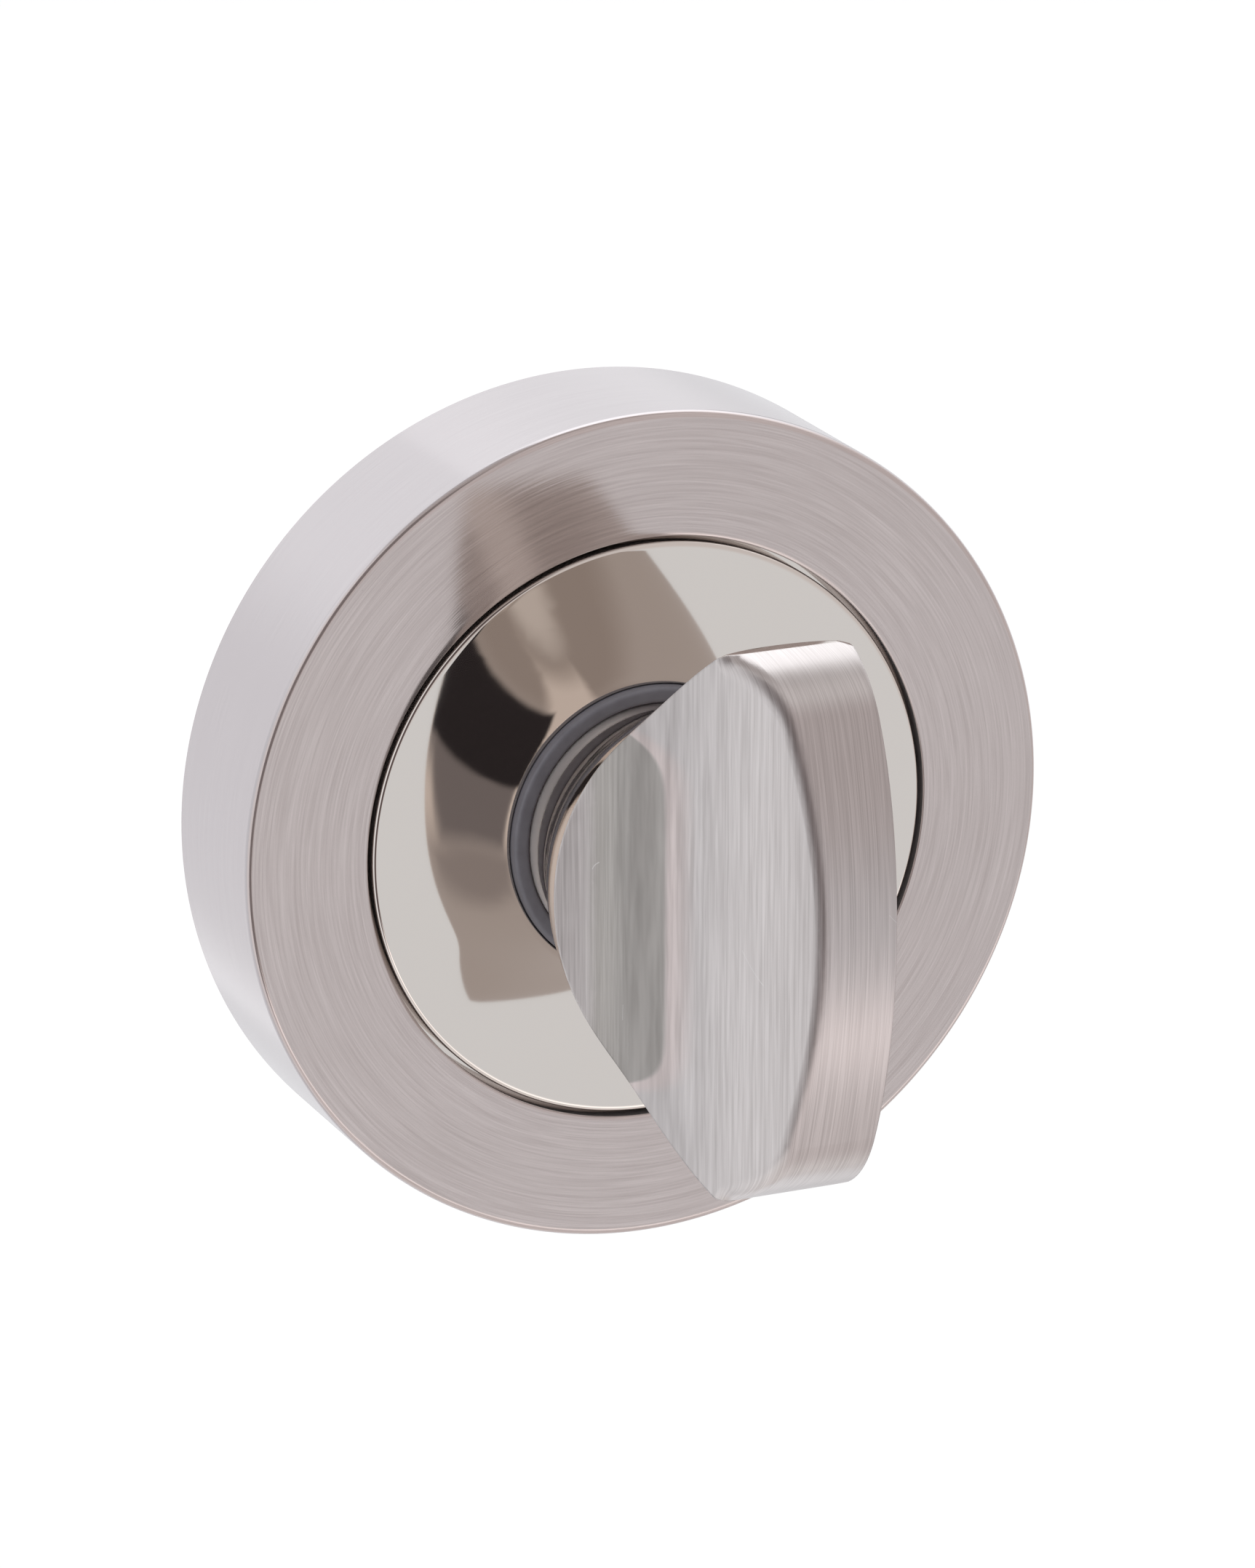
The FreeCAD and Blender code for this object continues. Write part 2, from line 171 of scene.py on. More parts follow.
class NodeMaker:
    """Short calls that add nodes to a tree."""

    def __init__(self, tree: bpy.types.NodeTree) -> None:
        """Takes a tree and empties it.

        Args:
            tree: The node tree.
        """
        self.tree = tree
        self.tree.nodes.clear()

    def node(self, kind: str, settings: dict[str, Any], values: dict[Any, Any],
             result: Any = 0) -> Shade:
        """Adds any node.

        Args:
            kind: The node's type.
            settings: Its properties, which are set first.
            values: Its inputs by name or number, each a socket or a value.
            result: The output's name or number.

        Returns:
            The chosen output.
        """
        made = self.tree.nodes.new(kind)
        for key, value in settings.items():
            setattr(made, key, value)
        for key, value in values.items():
            self.feed(made.inputs[key], value)
        return Shade(self, made.outputs[result])

    def feed(self, socket: Any, value: Any) -> None:
        """Links or sets one input.

        Args:
            socket: The input.
            value: A Shade, or the value itself.
        """
        if isinstance(value, Shade):
            self.tree.links.new(value.socket, socket)
        else:
            socket.default_value = value

    def place(self) -> tuple[Shade, Shade, Shade]:
        """Object coordinates, X, Y and Z in metres."""
        return self.split(self.node("ShaderNodeTexCoord", {}, {}, "Object"))

    def facing(self) -> tuple[Shade, Shade, Shade]:
        """The surface's own direction on the piece, as X, Y and Z of its normal."""
        return self.split(self.node("ShaderNodeTexCoord", {}, {}, "Normal"))

    def split(self, vector: Shade) -> tuple[Shade, Shade, Shade]:
        """Takes a vector apart.

        Args:
            vector: The vector.

        Returns:
            Its three parts.
        """
        made = self.node("ShaderNodeSeparateXYZ", {}, {0: vector})
        outputs = made.socket.node.outputs
        return Shade(self, outputs[0]), Shade(self, outputs[1]), Shade(self, outputs[2])

    def join(self, x: Any, y: Any, z: Any) -> Shade:
        """Puts a vector together.

        Args:
            x: First part.
            y: Second part.
            z: Third part.

        Returns:
            The vector.
        """
        return self.node("ShaderNodeCombineXYZ", {}, {0: x, 1: y, 2: z})

    def noise(self, vector: Shade, scale: float, detail: float = 2.0,
              roughness: float = 0.5) -> Shade:
        """Noise between 0 and 1.

        Args:
            vector: Where it is read.
            scale: Its frequency.
            detail: Its octaves.
            roughness: How strong the fine octaves are.

        Returns:
            The noise.
        """
        return self.node("ShaderNodeTexNoise", {}, {
            "Vector": vector, "Scale": scale, "Detail": detail, "Roughness": roughness,
        })

    def clouds(self, scale: float, detail: float = 3.0, roughness: float = 0.6) -> Shade:
        """Noise over the piece itself, alike in every direction.

        Args:
            scale: Its frequency, per metre.
            detail: Its octaves.
            roughness: How strong the fine octaves are.

        Returns:
            The noise, between 0 and 1.
        """
        return self.noise(self.join(*self.place()), scale, detail, roughness)

    def blend(self, share: Any, low: Any, high: Any) -> Shade:
        """Mixes two colours.

        Args:
            share: 0 for the first, 1 for the second.
            low: First colour.
            high: Second colour.

        Returns:
            The mixed colour.
        """
        made = self.tree.nodes.new("ShaderNodeMix")
        made.data_type = "RGBA"
        self.feed(made.inputs[0], share)
        self.feed(made.inputs[6], (*low, 1.0) if isinstance(low, tuple) else low)
        self.feed(made.inputs[7], (*high, 1.0) if isinstance(high, tuple) else high)
        return Shade(self, made.outputs[2])

    def tinted(self, colour: Shade, tint: Colour) -> Shade:
        """Multiplies a colour.

        Args:
            colour: The colour.
            tint: What it is multiplied by.

        Returns:
            The product.
        """
        return self.node("ShaderNodeVectorMath", {"operation": "MULTIPLY"}, {0: colour, 1: tint})

    def bump(self, height: Shade, depth: float, eased: float = 0.0) -> Shade:
        """Turns a height into a surface direction.

        Args:
            height: The height, about 0 to 1.
            depth: What a height of 1 is in metres.
            eased: The radius in metres by which sharp edges look rounded.

        Returns:
            The normal.
        """
        values = {"Height": height, "Distance": depth, "Strength": 1.0}
        if eased:
            values["Normal"] = self.node("ShaderNodeBevel", {"samples": 6}, {"Radius": eased})
        return self.node("ShaderNodeBump", {}, values)


class MaterialMaker(NodeMaker):
    """One material with its surface shader."""

    def __init__(self, name: str) -> None:
        """Starts a material.

        Args:
            name: The material's name.
        """
        self.material = bpy.data.materials.new(name)
        self.material.use_nodes = True
        super().__init__(self.material.node_tree)
        self.output = self.tree.nodes.new("ShaderNodeOutputMaterial")
        self.shader = self.tree.nodes.new("ShaderNodeBsdfPrincipled")
        self.tree.links.new(self.shader.outputs[0], self.output.inputs[0])

    def surface(self, **values: Any) -> bpy.types.Material:
        """Sets the surface shader's inputs.

        Args:
            values: Inputs by name, with _ for a space.

        Returns:
            The finished material.
        """
        for key, value in values.items():
            socket = self.shader.inputs[key.replace("_", " ")]
            if isinstance(value, tuple) and len(value) == 3 and socket.type == "RGBA":
                value = (*value, 1.0)
            self.feed(socket, value)
        return self.material


class Grain(Enum):
    """Which way the lines of a brushed surface run."""

    ROUND = "round the turning axis"
    UPRIGHT = "up and down the grip"


@dataclass(frozen=True)
class BrushedNickel:
    """Satin nickel with fine lines left by an abrasive belt."""

    light: Colour = (0.63, 0.565, 0.55)
    dark: Colour = (0.47, 0.41, 0.395)
    fine_lines: float = 10500.0
    broad_lines: float = 3800.0
    fine_share: float = 0.62
    broad_stretch: float = 0.5
    line_turns: float = 4.5
    line_rise: float = 85.0
    line_slant: float = 0.35
    line_depth: float = 0.0000035
    contrast: float = 1.9
    middle: float = 0.6
    cloud_contrast: float = 0.25
    tone_span: Span = (0.0, 1.25)
    roughness: float = 0.1
    line_roughness: float = 0.1
    cloud_roughness: float = 0.04

    def lines(self, maker: NodeMaker, grain: Grain) -> Shade:
        """Line pattern.

        Args:
            maker: The material.
            grain: The lines' direction.

        Returns:
            A value round 0.5 that changes quickly across the lines only.
        """
        x, y, z = maker.place()
        if grain is Grain.UPRIGHT:
            across = x + y * self.line_slant
            along, beside = z * self.line_rise, y * self.line_rise
        else:
            radius = (x * x + z * z).root()
            across = radius + y
            along, beside = x / radius * self.line_turns, z / radius * self.line_turns
        fine = maker.noise(maker.join(across * self.fine_lines, along, beside), 1.0, 2.0, 0.6)
        along, beside = along * self.broad_stretch, beside * self.broad_stretch
        broad = maker.noise(maker.join(across * self.broad_lines, along, beside), 1.0, 3.0, 0.6)
        return fine * self.fine_share + broad * (1.0 - self.fine_share)

    def colour(self, maker: NodeMaker, lines: Shade, clouds: Shade, lift: Any = 0.0) -> Shade:
        """Colour that varies with the lines.

        Args:
            maker: The material.
            lines: Its line pattern.
            clouds: Its soft patches.
            lift: What makes a part of it paler.

        Returns:
            The colour.
        """
        tone = (lines - 0.5) * self.contrast + self.middle
        tone = tone + (clouds - 0.5) * self.cloud_contrast + lift
        return maker.blend(tone.ramp(*self.tone_span), self.dark, self.light)

    def rough(self, lines: Shade, clouds: Shade) -> Shade:
        """Roughness that varies with the lines.

        Args:
            lines: The line pattern.
            clouds: The soft patches.

        Returns:
            The roughness.
        """
        by_line = (lines - 0.5) * self.line_roughness
        return self.roughness + by_line + clouds * self.cloud_roughness


@dataclass(frozen=True)
class MirrorNickel:
    """Polished nickel, slightly warm, with faint waves and slanting streaks from polishing."""

    tint: Colour = (0.7, 0.65, 0.61)
    roughness: float = 0.03
    haze: float = 0.04
    wave_share: float = 0.7
    streak_share: float = 0.06
    streaks_across: Span = (900.0, 260.0)
    streaks_along: Span = (90.0, 300.0)
    wave_depth: float = 0.0000005

    def rough(self, clouds: Shade) -> Shade:
        """Roughness, a little higher where the polish is hazy."""
        return self.roughness + clouds * self.haze

    def waves(self, maker: NodeMaker, clouds: Shade) -> Shade:
        """Height of the waves and streaks.

        Args:
            maker: The material.
            clouds: Its soft patches.

        Returns:
            The height, about 0 to 1.
        """
        x, y, z = maker.place()
        across = x * self.streaks_across[0] + z * self.streaks_across[1]
        along = z * self.streaks_along[1] - x * self.streaks_along[0]
        streaks = maker.noise(maker.join(across, y, along), 1.0, 3.0)
        return clouds * self.wave_share + streaks * self.streak_share


@dataclass(frozen=True)
class Dust:
    """Sparse dark grains and thin pale scratches."""

    cells: float = 330.0
    grain: float = 0.022
    chance: float = 0.8
    tone: Colour = (0.09, 0.07, 0.065)
    scratch_across: Span = (190.0, 60.0)
    scratch_deep: float = 120.0
    scratch_along: float = 90.0
    scratch_width: float = 0.0011
    scratch_patches: float = 260.0
    scratch_chance: float = 0.66
    scratch_share: float = 0.4
    scratch_tone: Colour = (0.85, 0.84, 0.84)

    def grains(self, maker: NodeMaker) -> Shade:
        """Where grains lie.

        Args:
            maker: The material.

        Returns:
            One on a grain, else zero.
        """
        cell = {"Vector": maker.join(*maker.place()), "Scale": self.cells}
        near = maker.node("ShaderNodeTexVoronoi", {}, cell)
        draw = maker.node("ShaderNodeTexVoronoi", {}, cell, "Color")
        lucky, size, _ = maker.split(draw)
        return (near < size * self.grain) * (lucky > self.chance)

    def scratches(self, maker: NodeMaker) -> Shade:
        """Where hair-thin scratches lie.

        Args:
            maker: The material.

        Returns:
            One on a scratch, else zero.
        """
        x, y, z = maker.place()
        across = x * self.scratch_across[0] + z * self.scratch_across[1]
        course = maker.join(across, y * self.scratch_deep, z * self.scratch_along)
        wander = maker.noise(course, 1.0, 1.0)
        here = maker.clouds(self.scratch_patches, 0.0, 0.5)
        return (abs(wander - 0.5) < self.scratch_width) * (here > self.scratch_chance)


@dataclass(frozen=True)
class Clouded:
    """A plain finish whose colour, gloss and height vary in soft patches."""

    name: str
    dark: Colour
    light: Colour
    patches: float
    detail: float
    roughness: float
    unevenness: float
    depth: float
    metallic: float = 1.0
    ior: float = 1.5

    def material(self) -> bpy.types.Material:
        """The finish as a material."""
        maker = MaterialMaker(self.name)
        clouds = maker.clouds(self.patches, self.detail)
        return maker.surface(
            Base_Color=maker.blend(clouds, self.dark, self.light), Metallic=self.metallic,
            Roughness=self.roughness + clouds * self.unevenness, IOR=self.ior,
            Normal=maker.bump(clouds, self.depth),
        )


GREY_NYLON = Clouded(
    name="grey_nylon", dark=(0.088, 0.086, 0.099), light=(0.155, 0.152, 0.173), patches=600.0,
    detail=3.0, roughness=0.36, unevenness=0.2, depth=0.00001, metallic=0.0, ior=1.53)
SPRING_STEEL = Clouded(
    name="spring_steel", dark=(0.13, 0.125, 0.12), light=(0.3, 0.29, 0.28), patches=420.0,
    detail=4.0, roughness=0.28, unevenness=0.25, depth=0.000008)


@dataclass(frozen=True)
class CastZinc:
    """As-cast zinc alloy, grainy and dull."""

    dark: Colour = (0.25, 0.25, 0.262)
    light: Colour = (0.58, 0.58, 0.59)
    grains: float = 1500.0
    grain_strength: float = 0.65
    patches: float = 110.0
    tone_span: Span = (0.34, 0.66)
    metallic: float = 0.85
    roughness: float = 0.4
    grain_roughness: float = 0.3
    grain_share: float = 0.7
    depth: float = 0.00006

    def material(self) -> bpy.types.Material:
        """The finish as a material."""
        maker = MaterialMaker("cast_zinc")
        grain = maker.clouds(self.grains, 4.0, self.grain_strength)
        clouds = maker.clouds(self.patches, 4.0)
        tone = (clouds * 0.5 + grain * 0.5).ramp(*self.tone_span)
        return maker.surface(
            Base_Color=maker.blend(tone, self.dark, self.light), Metallic=self.metallic,
            Roughness=self.roughness + grain * self.grain_roughness,
            Normal=maker.bump(grain * self.grain_share + clouds, self.depth),
        )


@dataclass(frozen=True)
class ZincPlate:
    """Bright zinc-plated steel, drawn along the turning axis."""

    dark: Colour = (0.5, 0.51, 0.53)
    light: Colour = (0.68, 0.69, 0.71)
    patches: float = 150.0
    lines_across: float = 4000.0
    lines_along: float = 40.0
    roughness: float = 0.22
    unevenness: float = 0.16
    depth: float = 0.000006

    def material(self) -> bpy.types.Material:
        """The finish as a material."""
        maker = MaterialMaker("zinc_plated_steel")
        x, y, z = maker.place()
        course = maker.join(x * self.lines_across, y * self.lines_along, z * self.lines_across)
        drawn = maker.noise(course, 1.0, 3.0, 0.6)
        clouds = maker.clouds(self.patches)
        return maker.surface(
            Base_Color=maker.blend(clouds, self.dark, self.light), Metallic=1.0,
            Roughness=self.roughness + clouds * self.unevenness,
            Normal=maker.bump(drawn, self.depth),
        )


class Piece:
    """Shared ways to make and dress a piece."""

    @staticmethod
    def dress(node: str, material: bpy.types.Material) -> None:
        """Gives a node its material.

        Args:
            node: The node's name.
            material: The material.
        """
        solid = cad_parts[node]
        solid.data.materials.clear()
        solid.data.materials.append(material)
        LOG.info("%s wears %s", node, material.name)

    @staticmethod
    def turn_up(name: str, corners: list[tuple[float, float]], sides: int) -> bpy.types.Object:
        """Turns a ring-shaped piece about the axis, ring by ring.

        Args:
            name: The piece's name.
            corners: Radius and height above the door of each corner, in metres.
            sides: How many flats it has round the axis.

        Returns:
            The piece, a closed shell with sharp corners.
        """
        bpy.ops.object.select_all(action="DESELECT")
        radius, height = corners[0]
        bpy.ops.mesh.primitive_circle_add(vertices=sides, radius=radius, fill_type="NOTHING",
                                          location=(0, -height, 0), rotation=(math.pi / 2, 0, 0))
        piece = bpy.context.object
        piece.name = name
        bpy.ops.object.transform_apply(location=True, rotation=True, scale=True)
        bpy.ops.object.mode_set(mode="EDIT")
        bpy.ops.mesh.select_all(action="SELECT")
        for next_radius, next_height in corners[1:] + corners[:1]:
            move = (0.0, height - next_height, 0.0)
            bpy.ops.mesh.extrude_region_move(TRANSFORM_OT_translate={"value": move})
            grow = next_radius / radius
            bpy.ops.transform.resize(value=(grow, 1.0, grow), center_override=(0.0, 0.0, 0.0),
                                     orient_type="GLOBAL")
            radius, height = next_radius, next_height
        bpy.ops.mesh.select_all(action="SELECT")
        bpy.ops.mesh.remove_doubles(threshold=WELD)
        bpy.ops.mesh.normals_make_consistent(inside=False)
        bpy.ops.object.mode_set(mode="OBJECT")
        return piece

    @staticmethod
    def round_ring(piece: bpy.types.Object, radius: float, height: float, width: float,
                   steps: int) -> None:
        """Rounds the edge that runs round a turned piece at a place.

        Args:
            piece: The piece.
            radius: The edge's radius.
            height: Its height above the door.
            width: The width of the rounding.
            steps: How many facets it gets.
        """
        def is_on_ring(index: int) -> bool:
            """Tests whether a corner of the mesh lies on the edge."""
            place = piece.data.vertices[index].co
            return (abs(math.hypot(place.x, place.z) - radius) < ON_EDGE
                    and abs(place.y + height) < ON_EDGE)

        bpy.ops.object.select_all(action="DESELECT")
        bpy.context.view_layer.objects.active = piece
        piece.select_set(True)
        bpy.ops.object.mode_set(mode="EDIT")
        bpy.ops.mesh.select_mode(type="EDGE")
        bpy.ops.mesh.select_all(action="DESELECT")
        bpy.ops.object.mode_set(mode="OBJECT")
        for edge in piece.data.edges:
            edge.select = all(is_on_ring(index) for index in edge.vertices)
        bpy.ops.object.mode_set(mode="EDIT")
        bpy.ops.mesh.bevel(offset=width, segments=steps, affect="EDGES", profile=0.5)
        bpy.ops.object.mode_set(mode="OBJECT")

    @staticmethod
    def finish(piece: bpy.types.Object, node: str, body: str, slot: str,
               material: bpy.types.Material) -> None:
        """Smooths a new piece, dresses it and puts it in its node's place.

        Args:
            piece: The piece.
            node: The node that it stands for.
            body: The body that it moves with.
            slot: Not used.
            material: Its material.
        """
        bpy.ops.object.select_all(action="DESELECT")
        bpy.context.view_layer.objects.active = piece
        piece.select_set(True)
        bpy.ops.object.shade_smooth_by_angle(angle=SMOOTH_ANGLE)
        piece.data.materials.append(material)
        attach(piece, body)
        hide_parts(node)
        LOG.info("%s stands for %s, %d faces", piece.name, node, len(piece.data.polygons))


@dataclass
class Rose:
    """Cover, polished disc, grey bush and the plate behind them. Lengths in millimetres.

    The support is how far beside a rounded edge a flat face gets a ring of its own, which
    keeps its shading flat. The skirt's span is of how much a face looks out of the door.
    """

    sides: int = 288
    skirt_wall: float = 1.5
    face_thick: float = 1.8
    rim_round: float = 0.35
    groove: float = 0.3
    groove_round: float = 0.09
    disc_radius: float = 18.0
    disc_round: float = 0.25
    disc_flange: float = 1.2
    window_round: float = 0.08
    support: float = 0.45
    seat: float = 0.02
    bush_bore: float = 8.07
    bush_wall: float = 0.83
    bush_swell: float = 0.2
    bush_round: float = 0.3
    bush_flange: float = 1.0
    bush_window: float = 0.26
    lip_steps: int = 5
    fine_lip_steps: int = 3
    cover_patches: float = 90.0
    cover_metallic: float = 0.8
    # painted light: the skirt, the cover's side wall, is painted paler and greyer by the way it
    # faces
    skirt_span: Span = (0.35, 0.8)
    skirt_painted_lift: float = 0.2
    skirt_painted_share: float = 0.75
    skirt_painted_tone: Colour = (0.64, 0.62, 0.64)
    disc_patches: float = 140.0
    disc_dust: float = 0.8
    satin: BrushedNickel = BrushedNickel()
    mirror: MirrorNickel = MirrorNickel()
    dust: Dust = Dust()

    def __post_init__(self) -> None:
        """Reads the radius and depth of the rose from the frame."""
        low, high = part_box("rose_cover")
        self.radius = high[0] / MM
        self.depth = -low[1] / MM
        self.cap_inner = self.radius - self.skirt_wall
        self.step = self.depth - self.face_thick

    @staticmethod
    def in_metres(corners: list[tuple[float, float]]) -> list[tuple[float, float]]:
        """Turns corners in millimetres into metres."""
        return [(radius * MM, height * MM) for radius, height in corners]

    def cover(self) -> bpy.types.Object:
        """Satin cap: a skirt and an annular face.

        Returns:
            The piece.
        """
        window = self.disc_radius + self.groove
        cap = Piece.turn_up("satin_cover", self.in_metres([
            (self.radius, 0.0), (self.radius, self.depth - self.support),
            (self.radius, self.depth), (self.radius - self.support, self.depth),
            (window + self.support, self.depth), (window, self.depth),
            (window, self.step), (self.cap_inner, self.step), (self.cap_inner, 0.0),
        ]), self.sides)
        Piece.round_ring(cap, self.radius * MM, self.depth * MM, self.rim_round * MM,
                         self.lip_steps)
        Piece.round_ring(cap, window * MM, self.depth * MM, self.groove_round * MM,
                         self.fine_lip_steps)
        return cap

    def disc(self) -> bpy.types.Object:
        """Polished disc with the flange that traps it.

        Returns:
            The piece.
        """
        bore = self.bush_bore + self.bush_wall + self.bush_window
        flange = self.cap_inner - self.seat
        back = self.step - self.disc_flange
        disc = Piece.turn_up("polished_disc", self.in_metres([
            (bore, back), (bore, self.depth), (bore + self.support, self.depth),
            (self.disc_radius - self.support, self.depth), (self.disc_radius, self.depth),
            (self.disc_radius, self.step - self.seat), (flange, self.step - self.seat),
            (flange, back),
        ]), self.sides)
        Piece.round_ring(disc, self.disc_radius * MM, self.depth * MM, self.disc_round * MM,
                         self.lip_steps)
        Piece.round_ring(disc, bore * MM, self.depth * MM, self.window_round * MM,
                         self.fine_lip_steps)
        return disc

    def bush(self) -> bpy.types.Object:
        """Grey bush with its rounded lip and its flange.

        Returns:
            The piece.
        """
        low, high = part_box("neck_bush")
        outer = self.bush_bore + self.bush_wall + self.bush_swell
        lip, back = -low[1] / MM, -high[1] / MM
        widest, shoulder = high[0] / MM, back + self.bush_flange
        bush = Piece.turn_up("grey_bush", self.in_metres([
            (self.bush_bore, back), (self.bush_bore, lip), (outer, lip), (outer, shoulder),
            (widest, shoulder), (widest, back),
        ]), self.sides // 2)
        Piece.round_ring(bush, outer * MM, lip * MM, self.bush_round * MM, self.lip_steps)
        Piece.round_ring(bush, self.bush_bore * MM, lip * MM, self.bush_round * MM, self.lip_steps)
        return bush

    def cover_finish(self) -> bpy.types.Material:
        """Round-brushed satin nickel, with its skirt painted paler and greyer as painted light.

        Returns:
            The material.
        """
        maker = MaterialMaker("satin_nickel_round")
        lines = self.satin.lines(maker, Grain.ROUND)
        clouds = maker.clouds(self.cover_patches, 3.0, 0.55)
        # painted light: faces that look less out of the door, the skirt, are painted paler and
        # greyer
        skirt = 1.0 - abs(maker.facing()[1]).ramp(*self.skirt_span)
        colour = self.satin.colour(maker, lines, clouds, skirt * self.skirt_painted_lift)
        colour = maker.blend(skirt * self.skirt_painted_share, colour, self.skirt_painted_tone)
        grains = self.dust.grains(maker)
        colour = maker.blend(grains, colour, self.dust.tone)
        return maker.surface(
            Base_Color=colour, Metallic=(1.0 - grains) * self.cover_metallic,
            Roughness=self.satin.rough(lines, clouds),
            Normal=maker.bump(lines, self.satin.line_depth),
        )

    def disc_finish(self) -> bpy.types.Material:
        """Mirror nickel with faint polishing haze.

        Returns:
            The material.
        """
        maker = MaterialMaker("mirror_nickel_disc")
        clouds = maker.clouds(self.disc_patches, 4.0)
        grains = self.dust.grains(maker)
        colour = maker.blend(grains * self.disc_dust, self.mirror.tint, self.dust.tone)
        waves = self.mirror.waves(maker, clouds)
        return maker.surface(
            Base_Color=colour, Metallic=1.0 - grains, Roughness=self.mirror.rough(clouds),
            Normal=maker.bump(waves, self.mirror.wave_depth),
        )

    def build(self) -> None:
        """Builds and dresses the standing pieces."""
        nylon = GREY_NYLON.material()
        Piece.finish(self.cover(), "rose_cover", "rose", "satin_nickel", self.cover_finish())
        Piece.finish(self.disc(), "rose_insert", "rose", "polished_nickel", self.disc_finish())
        Piece.finish(self.bush(), "neck_bush", "rose", "bush_nylon", nylon)
        Piece.dress("thrust_washer", nylon)
        Piece.dress("base_plate", CastZinc().material())
        Piece.dress("wave_washer", SPRING_STEEL.material())


@dataclass
class Turn:
    """Grip with its neck, the spindle and what holds them. Lengths in millimetres.

    The front and the crown are told by how much a face looks out of the door, and the scoop
    by how much it looks left. The neck's span is of the height above the door, from which
    its polish ends and below which its tone is painted paler as painted reflected light.
    """

    crease_x: float = -5.95
    crease_fade: float = 0.12
    crease_height: float = 11.1
    crease_bend: float = 1.6
    crease_power: float = 11.0
    crease_highlight_span: Span = (-1.25, -0.2)
    front: Span = (0.12, 0.2)
    crown: Span = (0.86, 0.97)
    scoop: Span = (0.55, 0.65)
    neck: Span = (12.48, 13.0)
    neck_roughness: float = 0.4
    # painted light: the neck's paler tone stands in for the light that it reflects
    neck_painted_light_tone: Colour = (0.95, 0.91, 0.88)
    # painted shade darkens the crown and the scoop's outer zone; a painted highlight brightens a
    # line by the crease
    crown_painted_shade_tint: Colour = (0.815, 0.78, 0.78)
    zone_painted_shade_tint: Colour = (0.67, 0.67, 0.645)
    crease_painted_highlight_tint: Colour = (1.09, 1.02, 1.005)
    patches: float = 130.0
    anisotropy: float = 0.7
    edge_round: float = 0.16
    satin: BrushedNickel = BrushedNickel(
        light=(0.79, 0.755, 0.745), dark=(0.52, 0.49, 0.48), fine_lines=15000.0,
        broad_lines=7500.0, line_rise=130.0, line_depth=0.000002, cloud_contrast=0.2,
        roughness=0.31, line_roughness=0.16, cloud_roughness=0.0)
    mirror: MirrorNickel = MirrorNickel()
    dust: Dust = Dust()

    def crease(self, maker: NodeMaker) -> tuple[Shade, Shade]:
        """Masks for painted shade on the scooped face's outer zone and for a painted highlight
        along the crease.

        Args:
            maker: The material.

        Returns:
            One in the painted shade zone, and one on the painted highlight line.
        """
        x, _, z = maker.place()
        share = abs(z) / (self.crease_height * MM)
        bend = share ** self.crease_power * (self.crease_bend * MM)
        past = (self.crease_x * MM - bend - x) / MM
        zone = past.ramp(-self.crease_fade, self.crease_fade)
        line = past.ramp(*self.crease_highlight_span) * (1.0 - zone)
        return zone, line

    def grip_finish(self) -> bpy.types.Material:
        """Polished flare and neck, brushed front; the front has painted shade and a painted
        highlight, the neck a painted paler tone.

        Returns:
            The material.
        """
        maker = MaterialMaker("turn_nickel")
        lines = self.satin.lines(maker, Grain.UPRIGHT)
        clouds = maker.clouds(self.patches, 3.0, 0.55)
        normal_x, normal_y, _ = maker.facing()
        brushed = (-normal_y).ramp(*self.front)
        crown = (-normal_y).ramp(*self.crown)
        scoop = (-normal_x).ramp(*self.scoop) * brushed
        zone, line = self.crease(maker)
        satin = self.satin.colour(maker, lines, clouds)
        # painted light: painted shade on the crown and the scoop's outer zone, a painted highlight
        # on the line by the crease
        for share, tint in ((crown, self.crown_painted_shade_tint), (scoop * zone, self.zone_painted_shade_tint),
                            (scoop * line, self.crease_painted_highlight_tint)):
            satin = maker.blend(share, satin, maker.tinted(satin, tint))
        grains = self.dust.grains(maker) * brushed
        satin = maker.blend(grains, satin, self.dust.tone)
        scratches = self.dust.scratches(maker) * self.dust.scratch_share
        satin = maker.blend(scratches, satin, self.dust.scratch_tone)
        # painted light: below the span the neck is painted paler to stand in for reflected light,
        # and is rougher
        neck = 1.0 - abs(maker.place()[1]).ramp(self.neck[0] * MM, self.neck[1] * MM)
        polish = maker.blend(neck, self.mirror.tint, self.neck_painted_light_tone)
        satin_rough = self.satin.rough(lines, clouds)
        mirror_rough = self.mirror.rough(clouds) + neck * self.neck_roughness
        return maker.surface(
            Base_Color=maker.blend(brushed, polish, satin), Metallic=1.0 - grains,
            Roughness=mirror_rough + (satin_rough - mirror_rough) * brushed,
            Anisotropic=self.anisotropy,
            Normal=maker.bump(lines * brushed, self.satin.line_depth, eased=self.edge_round * MM),
        )

    def build(self) -> None:
        """Dresses the turning pieces."""
        Piece.dress("turn_knob", self.grip_finish())
        Piece.dress("spindle", ZincPlate().material())
        steel = SPRING_STEEL.material()
        Piece.dress("retaining_ring", steel)
        Piece.dress("grub_screw", steel)


@dataclass(frozen=True)
class Panel:
    """A soft-edged part of the surroundings, as metal mirrors it.

    Its edges are degrees round from the front, rightwards, and degrees above the horizon.
    """

    left: float
    right: float
    low: float
    high: float
    fade: float
    colour: Colour

    def share(self, around: Shade, above: Shade) -> Shade:
        """How far a direction lies in the panel.

        Args:
            around: The direction's degrees round from the front.
            above: Its degrees above the horizon.

        Returns:
            One within, zero outside.
        """
        beside = abs(around - (self.left + self.right) / 2) - (self.right - self.left) / 2
        over = abs(above - (self.low + self.high) / 2) - (self.high - self.low) / 2
        return 1.0 - beside.larger(over).ramp(-self.fade / 2, self.fade / 2)


